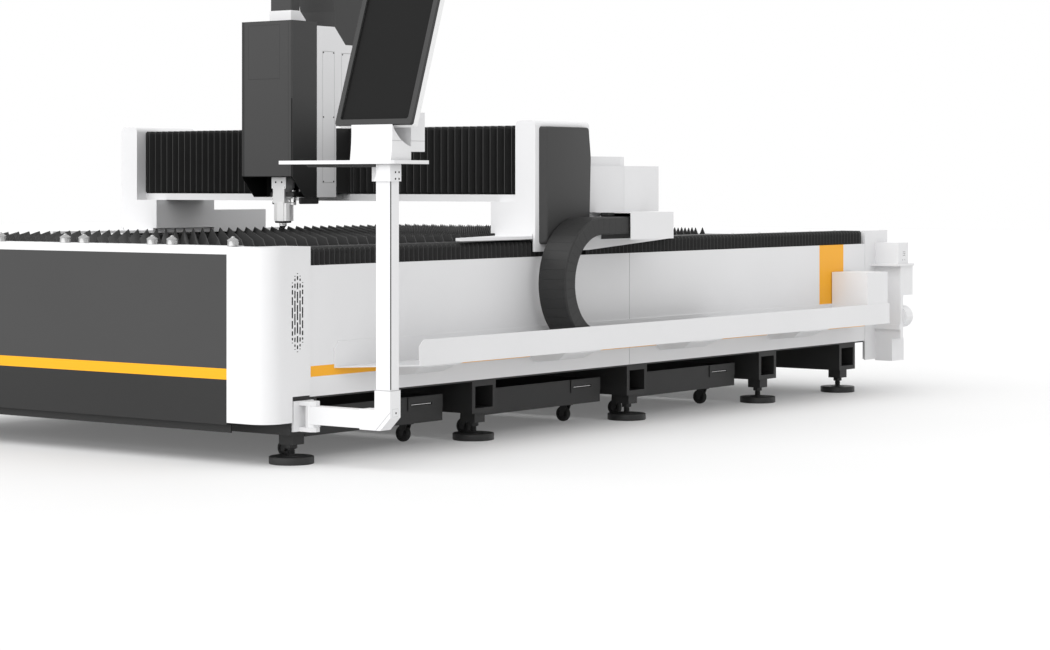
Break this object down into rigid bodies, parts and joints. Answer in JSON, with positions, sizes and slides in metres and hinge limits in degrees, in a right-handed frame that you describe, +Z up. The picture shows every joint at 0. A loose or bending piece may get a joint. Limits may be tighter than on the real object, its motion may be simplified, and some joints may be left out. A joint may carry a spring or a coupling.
{
  "type": "fiber laser cutting machine",
  "caption": "Open-bed laser cutter: slatted bed on feet, sliding gantry with lifting cutting head, cable chain, scrap carts and a monitor on a swing arm.",
  "frame": {"origin": "middle of the footprint, on the floor", "axes": "+Z up, +Y along the bed from its front panel to the rear, +X towards the cable trough and the monitor arm"},
  "size_m": [2.959, 4.638, 1.905],
  "materials": {
    "white_paint": "satin powder coat",
    "dark_paint": "satin powder coat",
    "black_paint": "satin paint",
    "slat_steel": "dark mill scale",
    "bright_steel": "ground",
    "alloy": "clear anodised",
    "bellows_cloth": "coated cloth",
    "chain_plastic": "matt",
    "white_plastic": "satin",
    "black_plastic": "satin",
    "screen_glass": "gloss",
    "wheel_rubber": "matt"
  },
  "bodies": {
    "bed": {"cross_tubes": "black_paint", "levelling_feet": "black_paint", "side_beams": "white_paint", "end_beams": "white_paint", "side_covers": "white_paint", "front_panel": "dark_paint", "front_top_rail": "white_paint", "corner_posts": "white_paint", "slats": "slat_steel", "slat_rests": "slat_steel", "side_decks": "white_paint", "rear_deck": "white_paint", "scrap_chutes": "black_paint", "ball_studs": "bright_steel", "bed_rails": "bright_steel", "bed_racks": "bright_steel", "front_bellows": "bellows_cloth", "rear_bellows": "bellows_cloth", "cable_trough": "white_paint", "junction_boxes": "white_paint", "rear_rack": "white_paint", "chain_lower_run": "chain_plastic", "arm_bracket": "white_paint"},
    "chain_loop": {"chain_bend": "chain_plastic"},
    "gantry": {"chain_upper_run": "chain_plastic", "chain_end_box": "white_paint", "end_boxes": "white_paint", "end_covers": "dark_paint", "gantry_girder": "white_paint", "saddles": "white_paint", "bearing_blocks": "bright_steel", "cable_box": "white_paint", "cross_rails": "bright_steel", "cross_rack": "bright_steel", "cross_bellows": "bellows_cloth"},
    "carriage": {"carriage_body": "white_paint", "carriage_plate": "black_paint", "head_cover": "dark_paint", "lift_motor": "black_paint", "cable_guide": "dark_paint", "lift_rails": "bright_steel"},
    "head": {"head_slide": "alloy", "laser_head": "alloy", "nozzle": "bright_steel"},
    "arm": {"swing_arm": "white_paint", "tray_gusset": "white_paint", "keyboard_tray": "white_paint", "monitor_stand": "white_paint"},
    "monitor": {"monitor_shell": "white_plastic", "monitor_bezel": "black_plastic", "monitor_screen": "screen_glass"},
    "cart_1": {"scrap_cart_1": "black_paint"},
    "cart_1_front_axle": {"cart_1_front_wheels": "wheel_rubber"},
    "cart_1_rear_axle": {"cart_1_rear_wheels": "wheel_rubber"},
    "cart_2": {"scrap_cart_2": "black_paint"},
    "cart_2_front_axle": {"cart_2_front_wheels": "wheel_rubber"},
    "cart_2_rear_axle": {"cart_2_rear_wheels": "wheel_rubber"},
    "cart_3": {"scrap_cart_3": "black_paint"},
    "cart_3_front_axle": {"cart_3_front_wheels": "wheel_rubber"},
    "cart_3_rear_axle": {"cart_3_rear_wheels": "wheel_rubber"}
  },
  "joints": [
    {"name": "gantry_slide", "type": "slide", "parent": "bed", "child": "gantry", "axis": [0, 1, 0], "range_m": [-1, 1.95], "deforming": ["front_bellows", "rear_bellows", "chain_lower_run", "chain_upper_run"]},
    {"name": "chain_loop_slide", "type": "slide", "parent": "bed", "child": "chain_loop", "axis": [0, 1, 0], "range_m": [-0.501, 0.976]},
    {"name": "carriage_slide", "type": "slide", "parent": "gantry", "child": "carriage", "axis": [1, 0, 0], "range_m": [-0.75, 0.75], "deforming": ["cross_bellows"]},
    {"name": "head_lift", "type": "slide", "parent": "carriage", "child": "head", "axis": [0, 0, 1], "range_m": [0, 0.1]},
    {"name": "arm_swing", "type": "hinge", "parent": "bed", "child": "arm", "pos_m": [0.9935, -2.119, 0.186], "axis": [0, 0, 1], "range_deg": [-90, 8]},
    {"name": "monitor_tilt", "type": "hinge", "parent": "arm", "child": "monitor", "pos_m": [1.3005, -2.004, 1.33], "axis": [1, 0, 0], "range_deg": [-8, 10]},
    {"name": "cart_1_slide", "type": "slide", "parent": "bed", "child": "cart_1", "axis": [1, 0, 0], "range_m": [0, 1.9]},
    {"name": "cart_1_front_roll", "type": "hinge", "parent": "cart_1", "child": "cart_1_front_axle", "pos_m": [0.7105, -1.606, 0.033], "axis": [0, 1, 0], "range_deg": [-5, 3305]},
    {"name": "cart_1_rear_roll", "type": "hinge", "parent": "cart_1", "child": "cart_1_rear_axle", "pos_m": [-0.9855, -1.606, 0.033], "axis": [0, 1, 0], "range_deg": [-5, 3305]},
    {"name": "cart_2_slide", "type": "slide", "parent": "bed", "child": "cart_2", "axis": [1, 0, 0], "range_m": [0, 1.9]},
    {"name": "cart_2_front_roll", "type": "hinge", "parent": "cart_2", "child": "cart_2_front_axle", "pos_m": [0.7105, -0.513, 0.033], "axis": [0, 1, 0], "range_deg": [-5, 3305]},
    {"name": "cart_2_rear_roll", "type": "hinge", "parent": "cart_2", "child": "cart_2_rear_axle", "pos_m": [-0.9855, -0.513, 0.033], "axis": [0, 1, 0], "range_deg": [-5, 3305]},
    {"name": "cart_3_slide", "type": "slide", "parent": "bed", "child": "cart_3", "axis": [1, 0, 0], "range_m": [0, 1.9]},
    {"name": "cart_3_front_roll", "type": "hinge", "parent": "cart_3", "child": "cart_3_front_axle", "pos_m": [0.7105, 0.58, 0.033], "axis": [0, 1, 0], "range_deg": [-5, 3305]},
    {"name": "cart_3_rear_roll", "type": "hinge", "parent": "cart_3", "child": "cart_3_rear_axle", "pos_m": [-0.9855, 0.58, 0.033], "axis": [0, 1, 0], "range_deg": [-5, 3305]}
  ],
  "couplings": [
    {"joint": "chain_loop_slide", "follows": "gantry_slide", "ratio": 0.5},
    {"joint": "cart_1_front_roll", "follows": "cart_1_slide", "rad_per_m": 30.303},
    {"joint": "cart_1_rear_roll", "follows": "cart_1_slide", "rad_per_m": 30.303},
    {"joint": "cart_2_front_roll", "follows": "cart_2_slide", "rad_per_m": 30.303},
    {"joint": "cart_2_rear_roll", "follows": "cart_2_slide", "rad_per_m": 30.303},
    {"joint": "cart_3_front_roll", "follows": "cart_3_slide", "rad_per_m": 30.303},
    {"joint": "cart_3_rear_roll", "follows": "cart_3_slide", "rad_per_m": 30.303}
  ]
}
